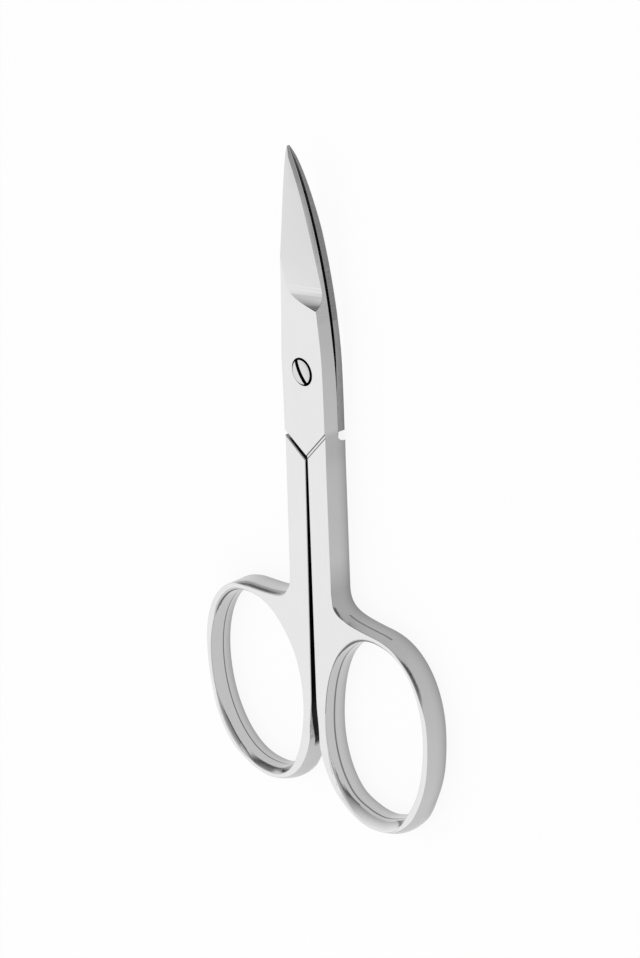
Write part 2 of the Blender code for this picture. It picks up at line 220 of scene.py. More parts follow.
# How faces are told apart when finishes are given, first by their normals and then by their places
FLAT_ENOUGH = 0.99
UPRIGHT_ENOUGH = 0.5
FACES_DOWN = 0.9
FACES_ASIDE = 0.9
FACES_UP = 0.3
BARELY_UP = 0.01
TILTED = 0.2
WALL_REACH = 0.0013
SOFTENED = 0.00013
GROUND_AWAY = 0.00015
CREASE_REACH = 1.2 * CREASE_HALF_WIDTH
SPINE_START = LAP_END_ABOVE_PIVOT + 0.001
SCOOP_FACE_END = SCOOP_BOTTOM - SCOOP_RUN / 3
OUTER_CREASE_START = 0.98
OUTER_CREASE_TOP = FILLET_TOP - 0.0033
SCOOPED_RIM_SHARE = 0.45

# The grain that a wheel or belt leaves: streaks a metre across, along and upwards, the depth of
# the streaks, and how much lighter and darker than the steel they are
Grain = namedtuple("Grain", "streaks depth contrast")
FACE_GRAIN = Grain((1500, 300, 1500), 4e-7, 0.01)
SIDE_GRAIN = Grain((3000, 400, 5000), 8e-7, 0.02)
LAP_SIDE_GRAIN = Grain((3000, 1500, 5000), 1.5e-6, 0.12)
SEAM_GRAIN = Grain((3000, 400, 5000), 1e-6, 0.03)
FRONT_SPINE_GRAIN = Grain((2500, 5000, 600), 1.5e-6, 0.08)
BACK_SPINE_GRAIN = Grain((2500, 5000, 600), 2e-6, 0.16)
BLADE_GRAIN = Grain((400, 5000, 1500), 6e-7, 0.012)
BEVEL_GRAIN = Grain((900, 5500, 900), 1.5e-6, 0.08)
RING_GRAIN = Grain((900, 900, 4000), 8e-7, 0.02)
CREASE_GRAIN = Grain((900, 900, 4000), 8e-7, 0.05)
EDGE_GRAIN = Grain((2500, 2500, 2500), 8e-7, 0.05)
ROLLED_EDGE_GRAIN = Grain((3000, 400, 5000), 8e-7, 0.05)
JOINT_GRAIN = Grain((400, 4000, 1500), 2e-6, 0.06)
SEAT_GRAIN = Grain((2500, 2500, 2500), 2e-6, 0.1)
SCREW_GRAIN = Grain((2500, 2500, 2500), 6e-7, 0.02)
ROUGHNESS_RANGE = (0.75, 1.25)

# Studio: light from over the left shoulder, a dark doorway beyond the tips, table and camera
KEY_TOWARDS = (-0.69, -0.38, 0.62)
KEY_LEVELS = ((0, 0.42), (0.24, 0.52), (0.48, 0.68), (0.68, 0.82), (0.88, 0.96), (1, 1.04))
DOOR_TOWARDS = (0.13, 0.99, 0)
DOOR_EDGE = (0.3, 0.5)
DOOR_LEVEL = 0.1
HORIZON_EDGE = (0.2, 0.5)
HORIZON_LEVEL = 0.95
TABLE_SIZE = 6
TABLE_BELOW = 0.00002
TABLE_TONE = 0.16
TABLE_GLOW = 0.88
CAMERA_LENS = 114.05
CAMERA_SENSOR = 36
CAMERA_CLIP = (0.01, 20)
CAMERA_PLACE = (0.2718, 0.13445 + PIVOT.y, 0.2475)
CAMERA_RIGHT = (0.6795, -0.0271, -0.7332)
CAMERA_BACK = (0.6858, 0.3786, 0.6216)


# Workbench helpers

def put_all_down():
    """Leave edit mode with nothing selected."""
    if bpy.context.object and bpy.context.object.mode != "OBJECT":
        bpy.ops.object.mode_set(mode="OBJECT")
    bpy.ops.object.select_all(action="DESELECT")


def pick_up(piece):
    """Make one piece the only selected one, and active."""
    put_all_down()
    piece.select_set(True)
    bpy.context.view_layer.objects.active = piece


def face_outwards(piece):
    """Merge doubled points and turn every face outwards."""
    pick_up(piece)
    bpy.ops.object.mode_set(mode="EDIT")
    bpy.ops.mesh.select_all(action="SELECT")
    bpy.ops.mesh.remove_doubles(threshold=MERGE_DISTANCE)
    bpy.ops.mesh.normals_make_consistent(inside=False)
    bpy.ops.object.mode_set(mode="OBJECT")


def drawn_through(name, sections):
    """A closed solid: a disc drawn onto the first outline and extruded to each of the next."""
    count = len(sections[0])
    put_all_down()
    bpy.ops.mesh.primitive_circle_add(vertices=count, radius=1, fill_type="NGON", location=(0, 0, 0))
    solid = bpy.context.object
    solid.name = name
    mark = solid.data.attributes.new("outline_point", "INT", "POINT")
    mark.data.foreach_set("value", range(count))
    bpy.ops.object.mode_set(mode="EDIT")
    bpy.ops.mesh.select_all(action="SELECT")
    for _ in sections[1:]:
        bpy.ops.mesh.extrude_region_move(TRANSFORM_OT_translate={"value": (0, 0, 1)})
    bpy.ops.object.mode_set(mode="OBJECT")
    mark = solid.data.attributes["outline_point"]
    for vertex, point in zip(solid.data.vertices, mark.data):
        vertex.co = sections[round(vertex.co.z)][point.value]
    solid.data.attributes.remove(mark)
    face_outwards(solid)
    return solid


def cut_away(piece, cutter):
    """Take a cutter's volume out of a piece, and put the cutter away."""
    pick_up(piece)
    modifier = piece.modifiers.new("cut", "BOOLEAN")
    modifier.operation = "DIFFERENCE"
    modifier.solver = "EXACT"
    modifier.object = cutter
    bpy.ops.object.modifier_apply(modifier=modifier.name)
    bpy.data.objects.remove(cutter)


def slice_across(piece, places, direction):
    """Cut a piece's faces, without parting it, by planes at these places."""
    pick_up(piece)
    bpy.ops.object.mode_set(mode="EDIT")
    for place in places:
        bpy.ops.mesh.select_all(action="SELECT")
        bpy.ops.mesh.bisect(plane_co=place, plane_no=direction, threshold=MERGE_DISTANCE)
    bpy.ops.object.mode_set(mode="OBJECT")


# Plan of a half: seam, finger ring, fillet, shank, lap and blade

def ring_point(angle, shape, grow=0.0):
    """A point on a ring's or a hole's outline, drawn out by grow."""
    power = 2 / shape.fullness
    across = (shape.half_width + grow) * math.copysign(abs(math.cos(angle)) ** power, math.cos(angle))
    along = (shape.half_length + grow) * math.copysign(abs(math.sin(angle)) ** power, math.sin(angle))
    x = across * math.cos(shape.lean) + along * math.sin(shape.lean)
    y = along * math.cos(shape.lean) - across * math.sin(shape.lean)
    return shape.centre + Vector((x, y))


def flowing(start, start_pull, end_pull, end):
    """Points of a smooth curve between two points, without its ends."""
    points = []
    for i in range(1, BLEND_POINTS):
        t = i / BLEND_POINTS
        s = 1 - t
        points.append(start * s**3 + start_pull * 3 * s * s * t + end_pull * 3 * s * t * t + end * t**3)
    return points


def half_width(y, side):
    """How far from the axis the side of a lap and blade stands at a height above the pivot."""
    share = min(1, max(0, (y - BLADE_START) / (BLADE_REACH - BLADE_START)))
    lost = side.slope_loss * share**side.slope_power + side.late_loss * share**side.late_power
    return LAP_HALF_WIDTH * (1 - lost)


def closer_towards_tip(start):
    """Heights above the pivot from a start to the tip, closer towards the tip."""
    left = [(1 - i / BLADE_STATIONS) ** STATION_CROWDING for i in range(BLADE_STATIONS + 1)]
    return [BLADE_REACH - (BLADE_REACH - start) * share for share in left]


def eased(value, start, end):
    """A smooth rise from 0 at start to 1 at end."""
    share = min(1, max(0, (value - start) / (end - start)))
    return share * share * (3 - 2 * share)


def risen(angle, stretches):
    """The sum of what rises and falls over these stretches round a ring, at an angle in degrees."""
    total = 0.0
    for (rise, full, fall, end), amount in stretches:
        total += amount * eased(angle, rise, full) * (1 - eased(angle, fall, end))
    return total


# A point of a half's plan, and how the wall is shaped there: how far it is rolled over at the front
# and creased, its swell at the front, middle and back, and its softness at front and back, where 0
# is sharp
PlanPoint = namedtuple(
    "PlanPoint", "place roll crease swell front back", defaults=(0.0, 0.0, (0, 0, 0), 1.0, 1.0)
)


def ring_plan_point(place, angle, half):
    """A plan point on the ring or fillet, with its wall's shape at this angle."""
    swell = [risen(angle, [(stretch, amounts[i]) for stretch, amounts in half.swells]) for i in range(3)]
    return PlanPoint(place, risen(angle, half.rolls), risen(angle, half.outer_creases), swell)


def seam_plan(half, ring_start):
    """The plan's points down the seam, and on to where the ring starts."""
    soft = half.seam_softness
    end_y = half.ring.centre.y + SEAM_END_ABOVE_RING_CENTRE
    seam_top = Vector((SEAM_GAP_AT_NOTCH / 2 + half.seam_ease, -NOTCH_APEX))
    seam_end = Vector((SEAM_GAP_AT_RINGS / 2 + half.seam_ease, end_y))
    drop = Vector((0, (seam_end.y - ring_start.y) / 2))
    foot = flowing(seam_end, seam_end - drop, ring_start + drop, ring_start)
    plan = [PlanPoint(seam_top, front=soft), PlanPoint(seam_end, front=soft)]
    plan += [PlanPoint(point, front=soft + (1 - soft) * i / len(foot)) for i, point in enumerate(foot)]
    return plan


def ring_plan(half):
    """The plan's points round the ring, and up the fillet to the shank."""
    angles = [RING_START + (RING_END - RING_START) * i / RING_POINTS for i in range(RING_POINTS + 1)]
    ring = [ring_point(math.radians(angle), half.ring) for angle in angles]
    plan = [ring_plan_point(point, angle, half) for angle, point in zip(angles, ring)]
    shank = Vector((half.shank_root, FILLET_TOP))
    reach = ring[-1].x - shank.x
    ring_pull = ring[-1] - Vector((reach * FILLET_RING_PULL, -reach * FILLET_RING_DIP))
    shank_pull = shank - Vector((0, FILLET_HEIGHT * FILLET_SHANK_PULL))
    fillet = flowing(ring[-1], ring_pull, shank_pull, shank)
    for i, point in enumerate(fillet):
        share = (i + 1) / (len(fillet) + 1)
        plan.append(ring_plan_point(point, RING_END + (SHANK_FOOT - RING_END) * share, half))
    plan.append(PlanPoint(shank))
    return plan


def blade_plan(half):
    """The plan's points up the cutting edge's side of the lap and blade, and down the spine's."""
    plan = [
        PlanPoint(Vector((SHOULDER_HALF_WIDTH, -NOTCH_APEX))),
        PlanPoint(Vector((LAP_HALF_WIDTH, RIGHT_NOTCH_RISE - NOTCH_APEX))),
    ]
    edge, spine = [], []
    for y in closer_towards_tip(BLADE_START):
        front = 1 - eased(y, LAP_END_ABOVE_PIVOT, SCOOP_BOTTOM - SCOOP_RUN)
        edge.append(PlanPoint(Vector((half_width(y, half.edge), y)), front=front, back=0.0))
        spine.append(PlanPoint(Vector((-half_width(y, half.spine), y)), front=front, back=0.0))
    plan += edge + spine[::-1]
    corner_y = half.lap_rise - NOTCH_APEX
    plan.append(PlanPoint(Vector((-LAP_HALF_WIDTH, corner_y)), back=0.0))
    if half.corner_run:
        x = half.corner_run - LAP_HALF_WIDTH
        foot_y = -NOTCH_APEX - x * half.lap_rise / SHOULDER_HALF_WIDTH
        plan.append(PlanPoint(Vector((x, corner_y)), front=0.0, back=0.0))
        plan.append(PlanPoint(Vector((x, foot_y)), front=0.0, back=0.0))
    return plan


def half_plan(half):
    """A half's whole plan, from the top of its seam round to the notch."""
    ring = ring_plan(half)
    return seam_plan(half, ring[0].place) + ring + blade_plan(half)


def inward(before, here, after):
    """The direction in which a corner of an anticlockwise plan moves when the plan is inset."""
    sides = [(here - before).normalized(), (after - here).normalized()]
    normals = [Vector((-side.y, side.x)) for side in sides]
    return (normals[0] + normals[1]) / (1 + normals[0].dot(normals[1]))


def plan_area(points):
    """Twice the plan's area, positive where it runs anticlockwise."""
    return sum(a.x * b.y - a.y * b.x for a, b in zip(points, points[1:] + points[:1]))


def rounded(depth, size):
    """How far a quarter round of this size sets a wall back at a depth below its edge."""
    if depth >= size:
        return 0.0
    return size * (1 - math.sqrt(1 - (1 - depth / size) ** 2))


def wall_depths(half):
    """Depths below the front face at which walls are drawn, two of them beside the crease."""
    depths = [micrometres / 1e6 for micrometres in WALL_DEPTHS]
    return sorted([*depths, half.crease_depth - CREASE_HALF_WIDTH, half.crease_depth + CREASE_HALF_WIDTH])


def wall_inset(point, depth, half):
    """How far a wall lies inside the plan's outline at a depth below the front face."""
    inset = rounded(depth, FRONT_SOFTNESS) * point.front
    inset += rounded(PLATE_THICKNESS - depth, BACK_SOFTNESS) * point.back
    inset += point.roll * max(0, 1 - depth / ROLL_DEPTH) ** ROLL_POWER
    inset += point.crease * max(0, 1 - depth / half.crease_depth)
    share = depth / PLATE_THICKNESS
    front, middle, back = point.swell
    return inset - front * (1 - share) - middle * 4 * share * (1 - share) - back * share


def forged_blank(name, half, front_level, back_level):
    """A half's blank: its plan with softened, rolled and creased walls between its faces."""
    plan = half_plan(half)
    places = [point.place for point in plan]
    turn = math.copysign(1, plan_area(places))
    insides = []
    for i, here in enumerate(places):
        insides.append(inward(places[i - 1], here, places[(i + 1) % len(places)]) * turn)
    sections = []
    for depth in wall_depths(half):
        z = front_level + (back_level - front_level) * depth / PLATE_THICKNESS
        outline = [p.place + aside * wall_inset(p, depth, half) for p, aside in zip(plan, insides)]
        sections.append([(*place, z) for place in outline])
    return drawn_through(name, sections)


# Cutters

def hole_growth(half, angle, depth):
    """How far the finger hole is drawn out at an angle round it and a depth below the front face."""
    growth = rounded(depth, HOLE_SOFTNESS + risen(angle, half.hole_rolls))
    growth += rounded(PLATE_THICKNESS - depth, BACK_SOFTNESS) + risen(angle, half.heels)
    growth += risen(angle, half.scooped_rims) * max(0, 1 - depth / SCOOPED_RIM_DEPTH) ** SCOOPED_RIM_POWER
    if depth < half.crease_depth:
        return growth - HOLE_CREASE * depth / half.crease_depth
    beyond = (depth - half.crease_depth) / (PLATE_THICKNESS - half.crease_depth)
    return growth - HOLE_CREASE + (HOLE_CREASE - HOLE_BACK_DRAW) * beyond


def hole_cutter(half, front_level, back_level):
    """Cuts the finger hole, whose wall has a crease, softened edges and a scooped or rolled rim."""
    degrees = [360 / HOLE_POINTS * (i + 0.5) for i in range(HOLE_POINTS)]
    depths = sorted([*wall_depths(half), SCOOPED_RIM_DEPTH])
    sections = []
    for level in [-MARGIN, *depths, PLATE_THICKNESS + MARGIN]:
        depth = min(PLATE_THICKNESS, max(0, level))
        z = front_level + (back_level - front_level) * level / PLATE_THICKNESS
        section = []
        for angle in degrees:
            growth = hole_growth(half, angle, depth)
            section.append((*ring_point(math.radians(angle), half.hole, growth), z))
        sections.append(section)
    return drawn_through("hole_cutter", sections)


def notch_line(rise, aside):
    """Two points on a side of the V notch that rises this far at the lap's edge, moved down aside."""
    run = Vector((SHOULDER_HALF_WIDTH, rise))
    across = Vector((rise, -SHOULDER_HALF_WIDTH)).normalized() * aside
    apex = Vector((0, -NOTCH_APEX)) + across
    return apex - 2 * run, apex + 2 * run


def notch_region(rise, gap):
    """Plan of all that lies above a side of the notch moved down by a gap."""
    low, high = notch_line(rise, gap)
    top = BLADE_REACH + MARGIN
    return [low, high, Vector((high.x, top)), Vector((low.x, top))]


def recess_cutter(joint_level, rise, gap, flare, softness):
    """Clears the other half's lap out of the plate, a gap off, with a rounded shoulder."""
    sections = []
    for i in range(SHOULDER_STEPS + 1):
        angle = math.pi / 2 * i / SHOULDER_STEPS
        z = softness + (joint_level - softness) * math.cos(angle)
        plan = notch_region(rise, gap + flare * math.sin(angle))
        sections.append([(*point, z) for point in plan])
    for z in (0, -MARGIN):
        sections.append([(*point, z) for point in notch_region(rise, gap + flare + softness)])
    return drawn_through("recess_cutter", sections)


def lap_face_cutter():
    """Grinds the back lap's outer face a little below the shank's, above the notch."""
    heights = ((FACE_LEVEL_BACK, LAP_FACE_RUN), (PLATE_THICKNESS + MARGIN, -LAP_FACE_RUN))
    sections = [[(*point, z) for point in notch_region(RIGHT_NOTCH_RISE, gap)] for z, gap in heights]
    return drawn_through("lap_face_cutter", sections)


def bevel_width(y, half):
    """Width of the bevel along a blade's cutting edge, nothing at the lap and little at the tip."""
    blade = half_width(y, half.edge) + half_width(y, half.spine)
    return min(BEVEL_WIDTH * eased(y, BEVEL_FROM, BEVEL_FULL_AT) + EDGE_THICKNESS, blade / 2)


def ridge_place(y, half):
    """Where across a blade its face ends and the bevel of its cutting edge begins."""
    return half_width(y, half.edge) - bevel_width(y, half)


def grind_section(y, half, joint_level, face_level, fall):
    """Cross section of what grinding takes off above a blade: face, ridge and edge bevel."""
    share = min(1, max(0, (y - SCOOP_BOTTOM) / (BLADE_REACH - SCOOP_BOTTOM)))
    height = RIDGE_HEIGHT_AT_ROOT + (RIDGE_HEIGHT_AT_TIP - RIDGE_HEIGHT_AT_ROOT) * share**2
    blade = half_width(y, half.edge) + half_width(y, half.spine)
    height = EDGE_THICKNESS + (height - EDGE_THICKNESS) * min(1, blade / 2 / BEVEL_WIDTH) ** RIDGE_THINNING
    climb = 0.0
    if y < SCOOP_BOTTOM:
        climb = SCOOP_RISE * ((SCOOP_BOTTOM - y) / SCOOP_RUN) ** SCOOP_POWER
    ridge_x = ridge_place(y, half)
    ridge_z = joint_level + height + climb
    far = SHOULDER_HALF_WIDTH + MARGIN
    top = face_level + 2 * MARGIN
    edge_z = ridge_z + (joint_level + EDGE_THICKNESS - ridge_z) * eased(y, SCOOP_BOTTOM, BEVEL_FULL_AT)
    return [
        (-far, y, ridge_z + fall * (ridge_x + far)),
        (ridge_x, y, ridge_z),
        (half_width(y, half.edge) + EDGE_THICKNESS / 3, y, edge_z),
        (far, y, edge_z),
        (far, y, top),
        (-far, y, top),
    ]


def grind_cutter(half, joint_level, face_level, fall):
    """Grinds a blade's face hollow from the lap to the tip, and bevels its cutting edge."""
    scoop = [SCOOP_BOTTOM - SCOOP_RUN * i / SCOOP_STEPS for i in range(SCOOP_STEPS, 0, -1)]
    stations = scoop + closer_towards_tip(SCOOP_BOTTOM)
    sections = [grind_section(y, half, joint_level, face_level, fall) for y in stations]
    sections.append([(x, y + MARGIN, z) for x, y, z in sections[-1]])
    return drawn_through("grind_cutter", sections)


def turned(name, profile):
    """A turned solid: a many-sided disc extruded through a profile of radii and heights."""
    turn = math.tau / TURNED_SIDES
    around = [(math.cos(i * turn), math.sin(i * turn)) for i in range(TURNED_SIDES)]
    sections = [[(radius * x, radius * y, z) for x, y in around] for radius, z in profile]
    return drawn_through(name, sections)


def screw_profile(gap, top, bottom):
    """The pivot screw's profile, or with a gap the hole that it turns in."""
    rim = FACE_LEVEL_FRONT - HEAD_RIM_HEIGHT
    neck = rim - HEAD_CONE_HEIGHT
    return [
        (HEAD_RADIUS + gap, top),
        (HEAD_RADIUS + gap, rim - gap),
        (SHAFT_RADIUS + gap, neck - gap),
        (SHAFT_RADIUS + gap, bottom),
    ]


# Shaping

def grind_step(piece):
    """Lower the shank and ring below the lap's face, by two fine steps along the notch."""
    normal = Vector((STEP_RISE, -SHOULDER_HALF_WIDTH)).normalized()
    apex = Vector((0, -NOTCH_APEX))
    places = [(*(apex + normal * line), 0) for line in STEP_LINES]
    slice_across(piece, places, (*normal, 0))
    half = LAP_LIFT / 2
    for vertex in piece.data.vertices:
        beyond = (vertex.co.to_2d() - apex).dot(normal)
        down = 0.0
        for start, end in (STEP_LINES[:2], STEP_LINES[2:]):
            down += half * min(1, max(0, (beyond - start) / (end - start)))
        vertex.co.z -= down * vertex.co.z / FACE_LEVEL_FRONT


def bend(y):
    """How far the curve of the blades, which starts at the notch, lifts a point."""
    share = max(0, (y + NOTCH_APEX) / (BLADE_REACH + NOTCH_APEX))
    return TIP_LIFT * share**BEND_POWER


def leaning(y):
    """How far each joint face leans towards the other: the laps touch, the blades meet at the tip."""
    opened = LAP_GAP + (BLADE_GAP - LAP_GAP) * eased(y, GAP_OPENS_FROM, GAP_OPEN_AT)
    share = max(0, (y - LAP_END_ABOVE_PIVOT) / (BLADE_REACH - LAP_END_ABOVE_PIVOT))
    opened -= (BLADE_GAP - TIP_GAP) * share**TIP_CLOSING_POWER
    return (JOINT_GAP - opened) / 2


def bend_blade(piece, direction, joint_level, face_level):
    """Slice a blade across at close stations, curve it and lean its joint face."""
    span = BLADE_REACH + NOTCH_APEX
    places = [(0, -NOTCH_APEX + span * i / BEND_STATIONS, 0) for i in range(BEND_STATIONS)]
    slice_across(piece, places, (0, 1, 0))
    for vertex in piece.data.vertices:
        _, y, z = vertex.co
        near = z / joint_level if z < joint_level else (face_level - z) / (face_level - joint_level)
        lean = leaning(y) * max(0, near) if y > -NOTCH_APEX else 0
        vertex.co.z += direction * bend(y) - lean


def set_in_place(piece, place, turned_over=False):
    """Put a finished piece where the frame has it, with its place in its mesh."""
    move = Matrix.Translation(place)
    if turned_over:
        move = move @ Matrix.Rotation(math.pi, 4, "Y")
    piece.matrix_world = move
    pick_up(piece)
    bpy.ops.object.transform_apply(location=True, rotation=True, scale=True)


def smooth_finish(piece):
    """Shade round walls smooth, keep real edges and let flat faces stay flat."""
    pick_up(piece)
    bpy.ops.object.shade_smooth_by_angle(angle=SMOOTH_ANGLE)
    modifier = piece.modifiers.new("flat_faces", "WEIGHTED_NORMAL")
    modifier.keep_sharp = True
    modifier.weight = 100
    bpy.ops.object.modifier_apply(modifier=modifier.name)


def make_front_half():
    """The half with the screw's head: front blade, right shank and right ring."""
    joint, face = JOINT_LEVEL_FRONT, FACE_LEVEL_FRONT
    piece = forged_blank("front_half_fine", FRONT, face, 0)
    cut_away(piece, hole_cutter(FRONT, face, 0))
    grind_step(piece)
    recess = recess_cutter(joint, RIGHT_NOTCH_RISE, RIGHT_NOTCH_GAP, FRONT_SHOULDER_FLARE, BACK_SOFTNESS)
    cut_away(piece, recess)
    cut_away(piece, grind_cutter(FRONT, joint, face, FRONT_FACE_FALL))
    cut_away(piece, turned("seat_cutter", screw_profile(SEAT_CLEARANCE, face + MARGIN, -MARGIN)))
    give_finishes(piece, lambda place, normal: finish_of(place, normal, FRONT, joint, face))
    bend_blade(piece, 1, joint, face)
    set_in_place(piece, (0, PIVOT.y, 0))
    smooth_finish(piece)
    return piece


def make_back_half():
    """The threaded half: back blade, left shank and left ring, drawn face up and turned over."""
    joint, face = JOINT_LEVEL_BACK, FACE_LEVEL_BACK
    piece = forged_blank("back_half_fine", BACK, 0, PLATE_THICKNESS)
    cut_away(piece, hole_cutter(BACK, 0, PLATE_THICKNESS))
    recess = recess_cutter(joint, LEFT_NOTCH_RISE, LEFT_NOTCH_GAP, BACK_SHOULDER_FLARE, NOTCH_SOFTNESS)
    cut_away(piece, recess)
    cut_away(piece, lap_face_cutter())
    cut_away(piece, grind_cutter(BACK, joint, face, BACK_FACE_FALL))
    radius = SHAFT_RADIUS + THREAD_CLEARANCE
    cut_away(piece, turned("thread_cutter", [(radius, PLATE_THICKNESS + MARGIN), (radius, -MARGIN)]))
    give_finishes(piece, lambda place, normal: finish_of(place, normal, BACK, joint, face))
    bend_blade(piece, -1, joint, face)
    set_in_place(piece, (0, PIVOT.y, PLATE_THICKNESS), turned_over=True)
    smooth_finish(piece)
    return piece


def screw_finish(place, normal):
    """Polished on the head; painted near black round its rim, in the slot and below, as painted shade."""
    below = place.z < FACE_LEVEL_FRONT + HEAD_PROUD - SLOT_DEPTH / 2
    return "seat_painted_shade_steel" if normal.to_2d().length > FACES_ASIDE or below else "screw_head_steel"


def make_screw():
    """The pivot screw: a domed, slotted head that stands a little proud, its cone and shaft."""
    rim_top = FACE_LEVEL_FRONT + HEAD_PROUD
    dome = []
    for i in range(1, DOME_STEPS):
        share = i / DOME_STEPS
        dome.append((HEAD_RADIUS * (1 - HEAD_CHAMFER) * share, rim_top + HEAD_DOME * (1 - share**2)))
    sides = screw_profile(0, rim_top - HEAD_RADIUS * HEAD_CHAMFER, LAP_LIFT)
    piece = turned("pivot_screw_fine", [*dome, *sides])
    put_all_down()
    above = rim_top + HEAD_DOME
    bpy.ops.mesh.primitive_cube_add(size=1, location=(0, 0, above), rotation=(0, 0, SLOT_ANGLE))
    slot = bpy.context.object
    slot.scale = (3 * HEAD_RADIUS, SLOT_WIDTH, 2 * SLOT_DEPTH)
    bpy.ops.object.transform_apply(location=True, rotation=True, scale=True)
    cut_away(piece, slot)
    give_finishes(piece, screw_finish)
    set_in_place(piece, (0, PIVOT.y, bend(0)))
    smooth_finish(piece)
    return piece


# Which finish each face gets, told from its place and normal before the blade is bent

def on_step_lines(place):
    """Whether a place lies on either of the fine steps along the notch."""
    normal = Vector((STEP_RISE, -SHOULDER_HALF_WIDTH)).normalized()
    beyond = (place.to_2d() - Vector((0, -NOTCH_APEX))).dot(normal)
    return any(start < beyond < end for start, end in (STEP_LINES[:2], STEP_LINES[2:]))


def in_hole(place, normal, hole):
    """Whether a face is on the wall or rim of a ring's hole: near it, and facing its centre."""
    aside = place.to_2d() - hole.centre
    across = aside.x * math.cos(hole.lean) - aside.y * math.sin(hole.lean)
    along = aside.x * math.sin(hole.lean) + aside.y * math.cos(hole.lean)
    near = math.hypot(across / (hole.half_width + WALL_REACH), along / (hole.half_length + WALL_REACH)) < 1
    return near and aside.dot(normal.to_2d()) < 0


def side_finish(place, normal, half, depth):
    """The finish of an upright face of a half, at a depth below the front face."""
    # Faces on a crease are painted dark, painted shade in the crease.
    on_crease = abs(depth - half.crease_depth) < CREASE_REACH
    if in_hole(place, normal, half.hole):
        return "crease_painted_shade_steel" if on_crease else "ring_inside_painted_shade_steel"
    # The back blade's side is painted darker, painted shade.
    if place.y > SPINE_START:
        return "front_spine_steel" if half is FRONT else "back_spine_painted_shade_steel"
    # The back lap's side is painted darker, painted shade.
    if half is BACK and depth > JOINT_LEVEL_BACK and place.x < 0 and place.y > -NOTCH_APEX:
        return "back_lap_side_painted_shade_steel"
    low_inside = place.x < half.ring.centre.x and place.y < half.hole.centre.y
    # Seam sides are painted: painted shade between the shanks on the front half, painted light round a
    # painted shadow wedge on the back half.
    if place.y < -NOTCH_APEX and (place.x < SEAM_GAP_AT_RINGS or low_inside):
        return "front_seam_painted_shade_steel" if half is FRONT else "back_seam_painted_light_and_shade_steel"
    crease_low = half.ring.centre.y + half.ring.half_length * OUTER_CREASE_START
    if half is FRONT and on_crease and crease_low < place.y < OUTER_CREASE_TOP:
        return "crease_painted_shade_steel"
    # Outer sides carry painted shade towards their foot.
    return "front_side_painted_shade_steel" if half is FRONT else "back_side_painted_shade_steel"


def by_rolled_edge(place, tilt, half, depth):
    """Whether a face leans to the front just below it, where rings and fillets are rolled over."""
    low = half.ring.centre.y - half.ring.half_length * 2
    beside_ring = low < place.y < FILLET_TOP + FILLET_HEIGHT and place.x > SHOULDER_HALF_WIDTH / 2
    return beside_ring and tilt > TILTED and SOFTENED < depth < SCOOPED_RIM_DEPTH


def rolled_finish(place, normal, half):
    """The finish where a wall is rolled over or scooped at the front."""
    if in_hole(place, normal, half.hole):
        # A hole's rolled top rim is painted dark, a painted dark reflection; its scooped bottom rim is
        # painted light, a painted highlight.
        if place.y > half.hole.centre.y:
            return "rolled_rim_painted_reflection_steel"
        aside = abs(place.x - half.hole.centre.x)
        scooped = half is FRONT or aside < half.hole.half_width * SCOOPED_RIM_SHARE
        return "scooped_rim_painted_light_steel" if scooped else "ring_inside_painted_shade_steel"
    # The back ring's rolled-over outer edge is painted darker, a painted dark reflection.
    if half is BACK and place.y > half.ring.centre.y:
        return "rolled_edge_painted_reflection_steel"
    return "front_side_painted_shade_steel" if half is FRONT else "back_side_painted_shade_steel"


def finish_of(place, normal, half, joint_level, face_level):
    """The finish of a half's face, told from its centre and normal."""
    from_pivot = place.to_2d().length
    ground_away = place.z < face_level - GROUND_AWAY
    # The seat's walls round the screw's head are painted near black, painted shade in the gap.
    if from_pivot < HEAD_RADIUS + 2 * SEAT_CLEARANCE and abs(normal.z) < FLAT_ENOUGH:
        return "seat_painted_shade_steel"
    # Joint faces are painted dark, painted shade in the gap between the blades.
    if normal.z < -FACES_DOWN and abs(place.z - joint_level) < GROUND_AWAY:
        return "joint_face_painted_shade_steel"
    if place.y > SCOOP_BOTTOM - SCOOP_RUN and ground_away:
        on_bevel = place.x > ridge_place(place.y, half) and place.z > joint_level + EDGE_THICKNESS
        if on_bevel and normal.z > BARELY_UP:
            return "edge_bevel_steel"
        if normal.z > FACES_UP:
            return "scoop_steel" if place.y < SCOOP_FACE_END else "blade_face_steel"
    if abs(normal.z) > FLAT_ENOUGH:
        return "polished_face_steel"
    depth = FACE_LEVEL_FRONT - place.z if half is FRONT else place.z
    tilt = normal.z if half is FRONT else -normal.z
    if by_rolled_edge(place, tilt, half, depth):
        return rolled_finish(place, normal, half)
    if abs(normal.z) > UPRIGHT_ENOUGH:
        # The steps along the notch are painted dark, painted shade.
        if half is FRONT and on_step_lines(place) and place.z > FACE_LEVEL_FRONT - 2 * LAP_LIFT:
            return "step_line_painted_shade_steel"
        return "softened_edge_steel"
    return side_finish(place, normal, half, depth)


def give_finishes(piece, choose):
    """Assign each face the material that a choice by place and normal names."""
    for face in piece.data.polygons:
        finish = choose(face.center, face.normal)
        if finish not in piece.data.materials:
            piece.data.materials.append(bpy.data.materials[finish])
        face.material_index = piece.data.materials.find(finish)


# Steel finishes; several carry painted shade and painted light

def wire(tree, source, target):
    """Join an output to an input."""
    tree.links.new(source, target)


def new_node(tree, kind, dials=(), **settings):
    """A node with its settings made and its inputs dialled in."""
    node = tree.nodes.new(kind)
    for name, value in settings.items():
        setattr(node, name, value)
    for name, value in dict(dials).items():
        node.inputs[name].default_value = value
    return node


def grey(level):
    """An opaque grey."""
    return (level, level, level, 1)


